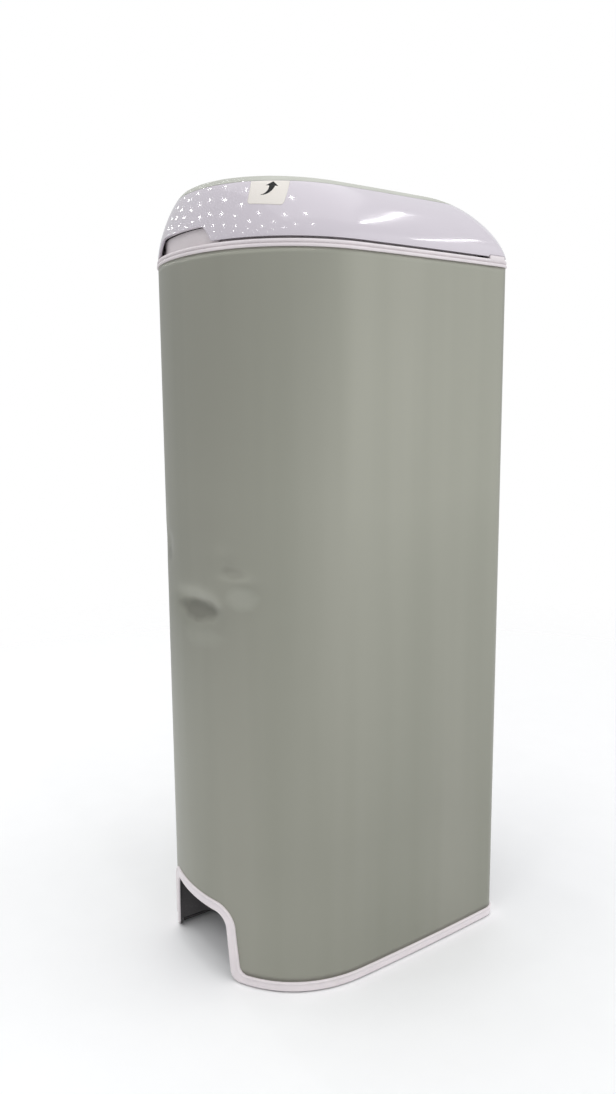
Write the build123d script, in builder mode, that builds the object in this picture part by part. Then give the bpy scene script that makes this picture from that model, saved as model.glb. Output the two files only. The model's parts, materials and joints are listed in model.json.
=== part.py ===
from build123d import *

import math
import os

# A slim D-shaped bin with a pedal-opened lid and a hand-pushed press plate under it.
# Millimetres, +Z up, front at -Y. The origin is the centre of the footprint, on the floor.

# ---------------------------------------------------------------- driving dimensions

half_width = 116.0
half_depth = 140.0
shoulder_y = -34.5  # where the curved nose turns into the side
nose_fullness = 0.605  # length of the nose's curve handles; 0.552 would be an ellipse
side_taper = 5.0  # each side comes in by this much at the back
back_corner = 14.0

skin_bottom, skin_top = 9.6, 630.0
skin_thickness = 0.8
trim_bottom, trim_proud = 1.2, 1.0
rim_top, rim_proud = 635.0, 0.4
collar_top = 650.0
collar_inset, mouth_inset = 8.0, 10.5
mouth_back_y = 106.0  # back of the mouth; the lift rod runs behind it

lid_bottom, lid_rise, lid_wall = 637.0, 51.0, 2.5
lid_top = lid_bottom + lid_rise
lid_seam = 682.6  # the glossy ring ends here and the top panel starts
lid_side_inset, lid_front_inset, lid_back_inset = 36.0, 19.3, 17.0
lid_corner_growth = 51.5
lid_profile_power = 1.4

hinge_y, hinge_z = 135.5, 641.5
hinge_pin_radius = 2.0
knuckle_radius = 4.5
knuckle_x, knuckle_half = 67.0, 7.0
hinge_lip_y = (111.0, 130.5)
hinge_lip_top = 638.2

lid_swing = 75.0
crank_radius = 16.0  # the crank pin swings evenly about the level of the hinge
crank_pin_radius = 1.5
crank_pin_y = hinge_y - crank_radius * math.cos(math.radians(lid_swing / 2))
crank_pin_z = hinge_z - crank_radius * math.sin(math.radians(lid_swing / 2))

notch_top = 60.5
notch_half_top, notch_half_bottom = 46.5, 50.0
notch_band = 9.2  # width of the white frame round the foot recess
pocket_half = notch_half_bottom + 0.7
pocket_back_y = -94.0
pocket_bottom = 8.6
deck_top = 67.0

bucket_top = 612.0
bucket_half, bucket_front, bucket_back = 102.0, -126.0, 100.0

rod_y, rod_radius = 121.0, 2.5
axle_z, axle_radius = 30.0, 4.0
spring_low, spring_high = 92.0, 150.0
running = 0.05  # radial clearance of a running fit

cover_top = 655.4
ram_y = -10.0
handle_rod_radius, handle_rod_wall = 9.0, 1.6
ram_tube_radius = 11.0
well_radius, well_floor = 46.0, 672.0
plate_bottom = 545.0
filter_half, filter_front, filter_back = 38.0, 50.0, 92.0

os.makedirs("parts", exist_ok=True)


def write(piece, name):
    piece.part.label = name
    export_step(piece.part, f"parts/{name}.step")


# ---------------------------------------------------------------- outlines and simple shapes


def d_outline(half, front, shoulder, back, taper, corner):
    # The plan of the bin: a curved nose, bowed sides and a flat back with rounded corners.
    with BuildLine() as line:
        Bezier(
            (0, front),
            (nose_fullness * half, front),
            (half, shoulder - nose_fullness * (shoulder - front)),
            (half, shoulder),
        )
        Bezier((half, shoulder), (half, (shoulder + back) / 2), (half - taper, back))
        Line((half - taper, back), (0, back))
        mirror(about=Plane.YZ)
    make_face(line.edges())
    back_corners = vertices().filter_by(lambda v: abs(v.Y - back) < 0.01 and abs(v.X) > 1)
    fillet(back_corners, radius=corner)


def housing_outline(inset, back=None):
    back_y = half_depth - inset if back is None else back
    corner = max(back_corner - inset, 3.0)
    d_outline(half_width - inset, inset - half_depth, shoulder_y, back_y, side_taper, corner)


def slab(inset, bottom, top, back=None, mode=Mode.ADD):
    with BuildSketch(Plane.XY.offset(bottom)) as plan:
        housing_outline(inset, back)
    extrude(plan.sketch, amount=top - bottom, mode=mode)


def wall(outer, inner, bottom, top, outer_back=None, inner_back=None):
    with BuildSketch(Plane.XY.offset(bottom)) as inside:
        housing_outline(inner, inner_back)
    with BuildSketch(Plane.XY.offset(bottom)) as ring:
        housing_outline(outer, outer_back)
        add(inside.sketch_local, mode=Mode.SUBTRACT)
    extrude(ring.sketch, amount=top - bottom)


def block(x, y, z, mode=Mode.ADD):
    with Locations((sum(x) / 2, sum(y) / 2, sum(z) / 2)):
        Box(abs(x[1] - x[0]), abs(y[1] - y[0]), abs(z[1] - z[0]), mode=mode)


def post(radius, x, y, bottom, top, mode=Mode.ADD):
    with Locations((x, y, (bottom + top) / 2)):
        Cylinder(radius, top - bottom, mode=mode)


def cross_bar(radius, x, y, z, mode=Mode.ADD):
    with Locations(Location((sum(x) / 2, y, z), (0, 90, 0))):
        Cylinder(radius, abs(x[1] - x[0]), mode=mode)


def fore_bar(radius, x, y, z, mode=Mode.ADD):
    with Locations(Location((x, sum(y) / 2, z), (90, 0, 0))):
        Cylinder(radius, abs(y[1] - y[0]), mode=mode)


def foot_arch(grow, ground, top_radius, flare_radius, mode):
    # The foot recess from the front: an arch that flares into everything below the ground line.
    top = notch_top + grow
    half_top, half_bottom = notch_half_top + grow, notch_half_bottom + grow
    far, low = half_width + 20, -20
    with BuildSketch(Plane.XZ) as arch:
        with BuildLine() as line:
            Polyline((0, top), (half_top, top), (half_bottom, ground), (far, ground), (far, low), (0, low))
            mirror(about=Plane.YZ)
        make_face(line.edges())
        fillet(vertices().filter_by(lambda v: abs(v.Y - top) < 0.01 and abs(v.X) > 1), radius=top_radius)
        fillet(vertices().filter_by(lambda v: abs(abs(v.X) - half_bottom) < 0.01), radius=flare_radius)
    extrude(arch.sketch, amount=half_depth + 20, mode=mode)


# ---------------------------------------------------------------- housing

with BuildPart() as body_skin:  # one painted sheet, bent round the front and both sides
    wall(0, skin_thickness, skin_bottom, skin_top)
    block((-88, 88), (120, 145), (0, 700), mode=Mode.SUBTRACT)
    foot_arch(notch_band, skin_bottom, 20, 7, Mode.SUBTRACT)
write(body_skin, "body_skin")

grip_half, grip_low, grip_high, grip_depth, grip_wall = 46.0, 546.0, 576.0, 12.0, 2.0
with BuildPart() as rear_panel:  # plastic back, tucked behind the two edges of the sheet
    block((-87.6, 87.6), (139.0, 140.0), (skin_bottom, skin_top - 0.2))
    block((-98, 98), (136.6, 139.05), (deck_top + 0.3, skin_top - 0.2))
    block(
        (-grip_half - grip_wall, grip_half + grip_wall),
        (half_depth - grip_depth - grip_wall, 138),
        (grip_low - grip_wall, grip_high + grip_wall),
    )
    for rib_x in (-70, -35, 35, 70):
        block((rib_x - 1, rib_x + 1), (132.5, 137), (90, 520))
    block(
        (-grip_half, grip_half),
        (half_depth - grip_depth, half_depth + 5),
        (grip_low, grip_high),
        mode=Mode.SUBTRACT,
    )
write(rear_panel, "rear_panel")

with BuildPart() as rear_screws:
    for screw_z in (50, 320, 600):
        for screw_x in (-78, 78):
            fore_bar(3.2, screw_x, (half_depth + 0.02, half_depth + 1.0), screw_z)
write(rear_screws, "rear_screws")

with BuildPart() as notch_frame:  # the part of the trim that stands up round the foot recess
    wall(-trim_proud, 0.9, trim_bottom, notch_top + notch_band + 5)
    block((-150, 150), (0, 150), (-5, 100), mode=Mode.SUBTRACT)
    foot_arch(notch_band - 0.05, skin_bottom, 20, 7, Mode.INTERSECT)

with BuildPart() as base_trim:
    wall(-trim_proud, 0.9, trim_bottom, skin_bottom)
    add(notch_frame.part)
    foot_arch(0, trim_bottom, 13, 9, Mode.SUBTRACT)
write(base_trim, "base_trim")

deck_bottom = deck_top - 3


def pocket_room(mode):
    # The hollow for the shoe: open to the front and below, rounded in its two back corners.
    with BuildSketch() as plan:
        with Locations((0, (pocket_back_y - 150) / 2)):
            Rectangle(2 * pocket_half, pocket_back_y + 150)
        fillet(vertices().group_by(Axis.Y)[-1], radius=12)
    extrude(plan.sketch, amount=notch_top + 0.4, mode=mode)


with BuildPart() as base_skirt:  # dark wall inside the sheet and the foot ring
    wall(1.0, 3.5, 3.0, deck_bottom - 0.05)
    pocket_room(Mode.SUBTRACT)
write(base_skirt, "base_skirt")

with BuildPart() as foot_pocket:  # dark moulding behind the foot recess
    block((-pocket_half - 2.5, pocket_half + 2.5), (-150, pocket_back_y + 2.5), (pocket_bottom, deck_bottom - 0.05))
    slab(3.55, 0, deck_top, mode=Mode.INTERSECT)
    pocket_room(Mode.SUBTRACT)
    block((-14, 14), (pocket_back_y - 1, pocket_back_y + 4), (4, 41), mode=Mode.SUBTRACT)
write(foot_pocket, "foot_pocket")

with BuildPart() as bucket_deck:  # floor that the bucket stands on, ribbed below
    slab(1.0, deck_bottom, deck_top)
    for side in (-1, 1):
        for rib_y in (-60, 70):
            block((side * 30, side * 106), (rib_y - 1.2, rib_y + 1.2), (44, deck_bottom + 1))
    post(rod_radius + 2, 0, rod_y, 40, 80, mode=Mode.SUBTRACT)
write(bucket_deck, "bucket_deck")

with BuildPart() as axle_bearings:  # two blocks under the deck
    for side in (-1, 1):
        block((side * 16, side * 24), (-9, 9), (axle_z - 9, deck_bottom - 0.05))
    cross_bar(axle_radius + running, (-40, 40), 0, axle_z, mode=Mode.SUBTRACT)
write(axle_bearings, "axle_bearings")

with BuildPart() as bottom_plate:  # thin cover under the pedal works
    slab(4.2, 2.4, 4.4)
    block((-pocket_half - 5, pocket_half + 5), (-150, pocket_back_y + 14), (0, 9), mode=Mode.SUBTRACT)
write(bottom_plate, "bottom_plate")

with BuildPart() as rubber_feet:
    for foot_x, foot_y in ((-72, -58), (72, -58), (-78, 108), (78, 108)):
        post(9, foot_x, foot_y, 0, 2.35)
    fillet(edges().group_by(Axis.Z)[0], radius=0.8)
write(rubber_feet, "rubber_feet")

with BuildPart() as base_screws:
    for screw_x, screw_y in ((-92, -30), (92, -30), (-92, 60), (92, 60)):
        post(3.4, screw_x, screw_y, 1.0, 2.35)
write(base_screws, "base_screws")

with BuildPart() as pedal_axle:
    cross_bar(axle_radius, (-28, 28), 0, axle_z)
    chamfer(edges().filter_by(GeomType.CIRCLE), length=0.6)
write(pedal_axle, "pedal_axle")

with BuildPart() as axle_clips:
    for side in (-1, 1):
        cross_bar(6.5, (side * 24.3, side * 25.5), 0, axle_z)
    cross_bar(axle_radius + 0.02, (-30, 30), 0, axle_z, mode=Mode.SUBTRACT)
write(axle_clips, "axle_clips")

# ---------------------------------------------------------------- rim and hinge

with BuildPart() as hinge_lip:  # low step on the rim beside the hinge
    wall(-rim_proud, 2.3, rim_top - 1, hinge_lip_top)
    block((-150, 150), (-150, hinge_lip_y[0]), (600, 660), mode=Mode.SUBTRACT)
    block((-150, 150), (hinge_lip_y[1], 150), (600, 660), mode=Mode.SUBTRACT)

with BuildPart() as rim_groove:
    wall(-2.0, 0.2, 631.7, 632.4)

with BuildPart() as finger_wall:  # front of the collar, thickened behind the finger recess
    wall(6.2, collar_inset + 0.5, rim_top - 1, collar_top - 0.6)
    block((-48, 48), (-150, 0), (600, 700), mode=Mode.INTERSECT)

with BuildPart() as top_rim:  # white collar that caps the sheet and carries the hinge
    wall(-rim_proud, mouth_inset, skin_top + 0.1, rim_top, inner_back=mouth_back_y)
    wall(1.1, 3.1, 600, skin_top + 0.2)
    wall(collar_inset, mouth_inset, 620, collar_top, mouth_back_y + 2.5, mouth_back_y)
    block((-100, 100), (135.9, 142), (590, skin_top + 0.05), mode=Mode.SUBTRACT)
    add(hinge_lip.part)
    add(finger_wall.part)
    add(rim_groove.part, mode=Mode.SUBTRACT)
    for side in (-1, 1):
        ear = (side * (knuckle_x - knuckle_half), side * (knuckle_x + knuckle_half))
        cross_bar(knuckle_radius, ear, hinge_y, hinge_z)
        block(ear, (hinge_y - knuckle_radius, hinge_y + knuckle_radius), (rim_top - 1, hinge_z))
    cross_bar(hinge_pin_radius + running, (-100, 100), hinge_y, hinge_z, mode=Mode.SUBTRACT)
    block((-8, 8), (111.5, 135.5), (600, 640), mode=Mode.SUBTRACT)
write(top_rim, "top_rim")

with BuildPart() as hinge_pins:
    for side in (-1, 1):
        cross_bar(hinge_pin_radius, (side * 48, side * 86), hinge_y, hinge_z)
write(hinge_pins, "hinge_pins")

with BuildPart() as rim_bumpers:  # rubber buffers that the lid lands on
    for side in (-1, 1):
        post(4, side * 92, 118, rim_top, cover_top - 2.5)
write(rim_bumpers, "rim_bumpers")

# ---------------------------------------------------------------- bucket and bag ring


def bucket_outline(shrink, draft):
    inset = shrink + draft
    d_outline(
        bucket_half - inset,
        bucket_front + inset,
        shoulder_y,
        bucket_back - inset,
        side_taper,
        20 - shrink,
    )


def bucket_body(shrink, bottom, top, mode):
    with BuildSketch(Plane.XY.offset(bottom)) as foot:
        bucket_outline(shrink, 7)
    with BuildSketch(Plane.XY.offset(top)) as mouth:
        bucket_outline(shrink, 0)
    loft([foot.sketch, mouth.sketch], mode=mode)


with BuildPart() as inner_bucket:
    bucket_body(0, deck_top + 0.1, bucket_top, Mode.ADD)
    with BuildSketch(Plane.XY.offset(bucket_top - 3)):
        bucket_outline(-2, 0)
    extrude(amount=3)
    bucket_body(2.0, deck_top + 2.4, bucket_top + 0.1, Mode.SUBTRACT)
write(inner_bucket, "inner_bucket")

with BuildPart() as bag_ring:  # lies on the bucket and pinches the bag
    with BuildSketch(Plane.XY.offset(bucket_top + 0.1)):
        bucket_outline(-1.6, 0)
    extrude(amount=4)
    with BuildSketch(Plane.XY.offset(bucket_top - 14)):
        bucket_outline(2.8, 0)
    extrude(amount=18)
    with BuildSketch(Plane.XY.offset(bucket_top - 15)):
        bucket_outline(4.6, 0)
    extrude(amount=20, mode=Mode.SUBTRACT)
write(bag_ring, "bag_ring")

# ---------------------------------------------------------------- lift rod

slot_half_height = crank_pin_radius + 0.8
slot_front = hinge_y - crank_radius - slot_half_height
slot_back = crank_pin_y + slot_half_height
with BuildPart() as lift_rod:  # ball foot below, slotted head above
    post(rod_radius, 0, rod_y, 41.5, crank_pin_z - 5)
    with Locations((0, rod_y, 41.5)):
        Sphere(4)
    block((-2.5, 2.5), (slot_front - 3, slot_back + 3), (crank_pin_z - 6, crank_pin_z + 6))
    fillet(edges().filter_by(Axis.X), radius=2.5)
    block(
        (-5, 5),
        (slot_front, slot_back),
        (crank_pin_z - slot_half_height, crank_pin_z + slot_half_height),
        mode=Mode.SUBTRACT,
    )
write(lift_rod, "lift_rod")

with BuildPart() as rod_collar:  # clip on the rod that the spring bears on
    post(9, 0, rod_y, spring_low - 3, spring_low - 0.2)
    post(rod_radius + 0.02, 0, rod_y, 80, 100, mode=Mode.SUBTRACT)
write(rod_collar, "rod_collar")

wire_radius = 0.7
spring_height = spring_high - spring_low - 2 * wire_radius - 0.6
with BuildPart() as return_spring:
    with BuildLine() as coil:
        coil_start = (0, rod_y, spring_low + wire_radius + 0.3)
        Helix(pitch=spring_height / 9, height=spring_height, radius=6.2, center=coil_start)
    with BuildSketch(Plane(coil.line @ 0, z_dir=coil.line % 0)):
        Circle(wire_radius)
    sweep(path=coil.line, is_frenet=True)
write(return_spring, "return_spring")

guide_places = (spring_high, 500.0)
with BuildPart() as rod_guides:  # two brackets on the rear panel
    for guide_z in guide_places:
        block((-15, 15), (rod_y - 9, 136.5), (guide_z + 0.1, guide_z + 3))
        block((-15, 15), (134.2, 136.5), (guide_z + 0.1, guide_z + 16))
        post(rod_radius + running, 0, rod_y, guide_z - 5, guide_z + 8, mode=Mode.SUBTRACT)
write(rod_guides, "rod_guides")

with BuildPart() as guide_screws:
    for guide_z in guide_places:
        for screw_x in (-9, 9):
            fore_bar(3.0, screw_x, (132.6, 134.1), guide_z + 10)
write(guide_screws, "guide_screws")

# ---------------------------------------------------------------- pedal

with BuildPart() as pedal_lever:  # pressed steel channel, open side down
    block((-12, 12), (-101, 130), (23, 37))
    block((-10, 10), (-90, 131), (20, 35), mode=Mode.SUBTRACT)
    cross_bar(axle_radius + running, (-20, 20), 0, axle_z, mode=Mode.SUBTRACT)
write(pedal_lever, "pedal_lever")

with BuildPart() as pedal_tread:  # rubber toe bar across the foot recess
    block((-42, 42), (-110, -98), (27, 38))
    fillet(edges(), radius=4)
    block((-12.05, 12.05), (-101.05, -96), (22, 40), mode=Mode.SUBTRACT)
write(pedal_tread, "pedal_tread")

# ---------------------------------------------------------------- lid


def crown(thickness):
    # The closed crown: its plan draws in, level by level, as it rises. thickness moves it inwards.
    levels = []
    for angle in (0, 14, 30, 46, 60, 73, 83, 89.9):
        draw_in = 1 - math.cos(math.radians(angle)) ** lid_profile_power
        height = (lid_rise - thickness) * math.sin(math.radians(angle)) ** lid_profile_power
        with BuildSketch(Plane.XY.offset(lid_bottom + height)) as level:
            d_outline(
                half_width - lid_side_inset * draw_in - thickness,
                lid_front_inset * draw_in + thickness - half_depth,
                shoulder_y,
                half_depth - lid_back_inset * draw_in - thickness,
                side_taper,
                back_corner + lid_corner_growth * draw_in - thickness / 2,
            )
        levels.append(level.sketch)
    return levels


with BuildPart() as crown_solid:
    loft(crown(0))
with BuildPart() as crown_cavity:
    loft(crown(lid_wall))
ear_clearance = 1.0
with BuildPart() as ear_slots:  # room in the lid for the two ears on the rim
    for side in (-1, 1):
        reach = knuckle_half + ear_clearance
        ear_slot = (side * (knuckle_x - reach), side * (knuckle_x + reach))
        block(ear_slot, (hinge_y - 8, 145), (630, hinge_z + 6.5))
with BuildPart() as pin_bores:
    cross_bar(hinge_pin_radius + running, (-88, -46), hinge_y, hinge_z)
    cross_bar(hinge_pin_radius + running, (46, 88), hinge_y, hinge_z)

finger_top, finger_half_top, finger_half_bottom = 649.4, 40.0, 46.5
with BuildPart() as lid_shell:  # glossy ring of the lid
    add(crown_solid.part)
    add(crown_cavity.part, mode=Mode.SUBTRACT)
    block((-150, 150), (-150, 150), (lid_seam, 720), mode=Mode.SUBTRACT)
    add(ear_slots.part, mode=Mode.SUBTRACT)
    add(pin_bores.part, mode=Mode.SUBTRACT)
    for side in (-1, 1):
        lip_notch = (side * (half_width - 8), side * (half_width + 5))
        block(lip_notch, (hinge_lip_y[0] - 0.7, hinge_lip_y[1] + 2.5), (630, hinge_lip_top + 0.5), mode=Mode.SUBTRACT)
    with BuildSketch(Plane.XZ.offset(half_depth - 20)):
        with BuildLine():
            Polyline((0, finger_top), (finger_half_top, finger_top), (finger_half_bottom, 630), (0, 630))
            mirror(about=Plane.YZ)
        make_face()
        fillet(vertices().filter_by(lambda v: abs(abs(v.X) - finger_half_top) < 0.01), radius=8)
    extrude(amount=40, mode=Mode.SUBTRACT)
write(lid_shell, "lid_shell")

cover_screw_places = ((-78, -60), (78, -60), (-78, 60), (78, 60), (-60, 98), (60, 98))
with BuildPart() as lid_deck:  # floor under the top panel, with the screw bosses
    slab(14, lid_seam - 2.4, lid_seam)
    for boss_x, boss_y in cover_screw_places:
        post(4, boss_x, boss_y, cover_top + 0.1, lid_seam - 1)
    add(crown_cavity.part, mode=Mode.INTERSECT)
    post(well_radius + 0.2, 0, ram_y, 660, 700, mode=Mode.SUBTRACT)
write(lid_deck, "lid_deck")

with BuildPart() as crank_arms:
    for side in (-1, 1):
        with BuildSketch(Plane.YZ.offset(side * 4.5)):
            with Locations((hinge_y, hinge_z)):
                Circle(knuckle_radius)
            with Locations((crank_pin_y, crank_pin_z)):
                Circle(3.8)
            make_hull()
        extrude(amount=1.2, both=True)
    slab(lid_wall + 1.4, 600, 700, mode=Mode.INTERSECT)
with BuildPart() as hinge_knuckles:  # three barrels against the lid's back wall; the middle one has the cranks
    cross_bar(knuckle_radius, (-98, 98), hinge_y, hinge_z)
    add(crown_cavity.part, mode=Mode.INTERSECT)
    add(crank_arms.part)
    add(ear_slots.part, mode=Mode.SUBTRACT)
    add(pin_bores.part, mode=Mode.SUBTRACT)
    cross_bar(crank_pin_radius + 0.02, (-8, 8), crank_pin_y, crank_pin_z, mode=Mode.SUBTRACT)
write(hinge_knuckles, "hinge_knuckles")

with BuildPart() as crank_pin:
    cross_bar(crank_pin_radius, (-6.8, 6.8), crank_pin_y, crank_pin_z)
write(crank_pin, "crank_pin")

with BuildPart() as lid_top_panel:  # satin panel let into the top
    add(crown_solid.part)
    block((-150, 150), (-160, 160), (600, lid_seam + 0.2), mode=Mode.SUBTRACT)
    with BuildSketch(Plane.XY.offset(lid_seam)):
        d_outline(72, -110, shoulder_y, 100, side_taper, 50)
        with Locations((0, ram_y)):
            Circle(well_radius + 6, mode=Mode.SUBTRACT)
    extrude(amount=3.6, mode=Mode.SUBTRACT)
    post(well_radius + 2.2, 0, ram_y, 660, 700, mode=Mode.SUBTRACT)
write(lid_top_panel, "lid_top_panel")

with BuildPart() as handle_well:  # round cup that the press handle lies in
    post(well_radius, 0, ram_y, well_floor - 2.5, lid_top - 0.1)
    post(well_radius + 2.0, 0, ram_y, lid_seam + 0.2, lid_top - 0.1)
    post(well_radius - 2, 0, ram_y, well_floor, 700, mode=Mode.SUBTRACT)
    post(handle_rod_radius + 0.6, 0, ram_y, 660, 690, mode=Mode.SUBTRACT)
write(handle_well, "handle_well")

cover_bottom = cover_top - 2.2
filter_y = (filter_front, filter_back)
with BuildPart() as lid_inner_cover:  # underside of the lid
    with BuildSketch(Plane.XY.offset(cover_bottom)):
        d_outline(half_width - 10, 7 - half_depth, shoulder_y, half_depth - 12, side_taper, 26)
    extrude(amount=3.4)
    with BuildSketch(Plane.XY.offset(cover_top)):
        d_outline(half_width - 12, 9 - half_depth, shoulder_y, half_depth - 14, side_taper, 24)
    extrude(amount=8, mode=Mode.SUBTRACT)
    block((-filter_half - 2, filter_half + 2), (filter_front - 2, filter_back + 2), (cover_top - 0.1, 668))
    block((-filter_half, filter_half), filter_y, (640, 666.5), mode=Mode.SUBTRACT)
    post(15.2, 0, ram_y, 640, 680, mode=Mode.SUBTRACT)
    block((-7.5, 7.5), (112, 133), (640, 660), mode=Mode.SUBTRACT)
write(lid_inner_cover, "lid_inner_cover")

with BuildPart() as filter_cartridge:
    block((-filter_half + 0.6, filter_half - 0.6), (filter_front + 0.6, filter_back - 0.6), (655.5, 666))
write(filter_cartridge, "filter_cartridge")

with BuildPart() as filter_grille:  # slotted cover that clips in below the cartridge
    block((-filter_half + 0.4, filter_half - 0.4), (filter_front + 0.4, filter_back - 0.4), (653, 655.4))
    with Locations((0, (filter_front + filter_back) / 2, 654)):
        with GridLocations(8, 1, 8, 1):
            Box(3.2, 30, 5, mode=Mode.SUBTRACT)
write(filter_grille, "filter_grille")

with BuildPart() as lid_seal:  # soft ring that closes on the collar
    wall(8.1, 10.7, collar_top + 0.3, cover_bottom - 0.1, mouth_back_y + 2.7, mouth_back_y - 0.2)
write(lid_seal, "lid_seal")

with BuildPart() as ram_guide:  # flanged bush that the handle rod slides in
    post(15, 0, ram_y, 650, well_floor - 2.7)
    post(24, 0, ram_y, cover_top + 0.1, cover_top + 2.6)
    post(handle_rod_radius + running, 0, ram_y, 640, 680, mode=Mode.SUBTRACT)
write(ram_guide, "ram_guide")

with BuildPart() as guide_bolts:
    with Locations((0, ram_y, cover_top + 2.7)):
        with PolarLocations(19.5, 3, start_angle=30):
            Cylinder(2.8, 1.6, align=(Align.CENTER, Align.CENTER, Align.MIN))
write(guide_bolts, "guide_bolts")

with BuildPart() as lid_screws:
    for screw_x, screw_y in cover_screw_places:
        post(3.2, screw_x, screw_y, cover_bottom - 1.4, cover_bottom - 0.05)
write(lid_screws, "lid_screws")

# ---------------------------------------------------------------- press handle and ram

knob_bottom, knob_top, knob_radius = 673.6, lid_top - 0.3, 29.0
button_seat, button_bottom = 680.4, 684.0
rod_bottom, rod_top = 549.5, 678.9
with BuildPart() as press_handle:  # mushroom grip that lies flush in the well
    post(knob_radius, 0, ram_y, knob_bottom + 5, knob_top)
    fillet(edges().group_by(Axis.Z)[-1], radius=3.5)
    fillet(edges().group_by(Axis.Z)[0], radius=2.0)
    post(16, 0, ram_y, knob_bottom, knob_bottom + 6)
    post(handle_rod_radius + 0.02, 0, ram_y, 660, rod_top + 0.1, mode=Mode.SUBTRACT)
    post(8.3, 0, ram_y, button_seat, 700, mode=Mode.SUBTRACT)
    post(2.8, 0, ram_y, 670, 690, mode=Mode.SUBTRACT)
write(press_handle, "press_handle")

with BuildPart() as handle_rod:  # steel tube, fixed in the handle, sliding in the ram tube
    post(handle_rod_radius, 0, ram_y, rod_bottom, rod_top)
    post(handle_rod_radius - handle_rod_wall, 0, ram_y, 540, 690, mode=Mode.SUBTRACT)
write(handle_rod, "handle_rod")

with BuildPart() as lock_button:  # frees the handle from the ram
    post(8.0, 0, ram_y, button_bottom, knob_top + 0.2)
    fillet(edges().group_by(Axis.Z)[-1], radius=1.2)
    post(2.5, 0, ram_y, 600, button_bottom + 0.5)
write(lock_button, "lock_button")

hub_top = 575.0
with BuildPart() as ram_tube:
    post(ram_tube_radius, 0, ram_y, rod_bottom - 0.5, 648)
    post(handle_rod_radius + running, 0, ram_y, 540, 670, mode=Mode.SUBTRACT)
write(ram_tube, "ram_tube")


def plate_outline(grow):
    d_outline(84 + grow, -94 - grow, -20, 78 + grow, 4, 26 + grow)


plate_floor = plate_bottom + 3.2
with BuildPart() as press_plate:  # stiff pan with radial ribs and a hub
    for rib_angle in range(0, 180, 30):
        with Locations(Location((0, ram_y, plate_bottom + 5), (0, 0, rib_angle))):
            Box(240, 2.2, 7)
    with BuildSketch(Plane.XY.offset(plate_bottom)):
        plate_outline(-1)
    extrude(amount=20, mode=Mode.INTERSECT)
    with BuildSketch(Plane.XY.offset(plate_bottom)):
        plate_outline(0)
    extrude(amount=plate_floor - plate_bottom)
    with BuildSketch(Plane.XY.offset(plate_bottom), mode=Mode.PRIVATE) as plate_inside:
        plate_outline(-2.4)
    with BuildSketch(Plane.XY.offset(plate_bottom)):
        plate_outline(0)
        add(plate_inside.sketch_local, mode=Mode.SUBTRACT)
    extrude(amount=10)
    post(16, 0, ram_y, plate_bottom, hub_top)
    post(ram_tube_radius + 0.02, 0, ram_y, rod_bottom - 0.55, hub_top + 5, mode=Mode.SUBTRACT)
write(press_plate, "press_plate")

with BuildPart() as plate_wiper:  # soft strip round the press plate
    with BuildSketch(Plane.XY.offset(plate_bottom + 0.5), mode=Mode.PRIVATE) as wiper_inside:
        plate_outline(0.05)
    with BuildSketch(Plane.XY.offset(plate_bottom + 0.5)):
        plate_outline(1.6)
        add(wiper_inside.sketch_local, mode=Mode.SUBTRACT)
    extrude(amount=6)
write(plate_wiper, "plate_wiper")
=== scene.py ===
import json
import math

import bmesh
import bpy
from mathutils import Matrix, Vector


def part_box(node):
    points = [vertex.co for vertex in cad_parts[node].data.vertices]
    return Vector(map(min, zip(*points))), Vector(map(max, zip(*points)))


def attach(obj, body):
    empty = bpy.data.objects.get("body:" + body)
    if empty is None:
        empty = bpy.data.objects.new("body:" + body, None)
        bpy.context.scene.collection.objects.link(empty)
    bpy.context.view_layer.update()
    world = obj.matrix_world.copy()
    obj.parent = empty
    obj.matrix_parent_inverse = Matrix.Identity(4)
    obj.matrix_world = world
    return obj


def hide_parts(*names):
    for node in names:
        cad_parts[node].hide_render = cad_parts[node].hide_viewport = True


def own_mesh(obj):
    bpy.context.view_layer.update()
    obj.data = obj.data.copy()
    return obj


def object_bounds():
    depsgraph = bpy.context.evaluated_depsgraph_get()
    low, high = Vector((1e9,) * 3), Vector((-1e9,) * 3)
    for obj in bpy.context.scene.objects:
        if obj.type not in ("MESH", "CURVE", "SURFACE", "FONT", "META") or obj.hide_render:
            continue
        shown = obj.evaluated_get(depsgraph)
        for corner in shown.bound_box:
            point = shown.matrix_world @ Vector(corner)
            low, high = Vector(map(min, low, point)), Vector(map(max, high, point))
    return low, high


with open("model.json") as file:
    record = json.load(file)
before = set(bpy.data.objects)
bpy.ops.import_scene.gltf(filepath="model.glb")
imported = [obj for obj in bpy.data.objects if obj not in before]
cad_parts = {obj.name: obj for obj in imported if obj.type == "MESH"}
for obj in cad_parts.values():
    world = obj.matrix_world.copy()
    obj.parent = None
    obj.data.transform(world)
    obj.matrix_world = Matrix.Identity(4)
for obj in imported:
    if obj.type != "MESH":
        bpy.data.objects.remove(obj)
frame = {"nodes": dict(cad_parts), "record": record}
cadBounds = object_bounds()
nodes = frame["nodes"]
skinLow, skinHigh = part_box("body_skin")
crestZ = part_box("lid_top_panel")[1][2]
print("frame loaded:", len(nodes), "nodes")

# ---------------------------------------------------------------- the D-shaped plan

planShape = {
    "shoulder": -0.0345,  # where the curved nose turns into the side
    "fullness": 0.605,  # handle length of the nose's curve
    "taper": 0.005,  # each side comes in by this much at the back
    "corner": 0.014,
    "noseEnd": 0.42,  # shares of the way from the front centre to the back centre
    "sideEnd": 0.76,
    "cornerEnd": 0.88,
}
halfWidth, frontY, backY = skinHigh[0], skinLow[1], skinHigh[1]


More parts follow.
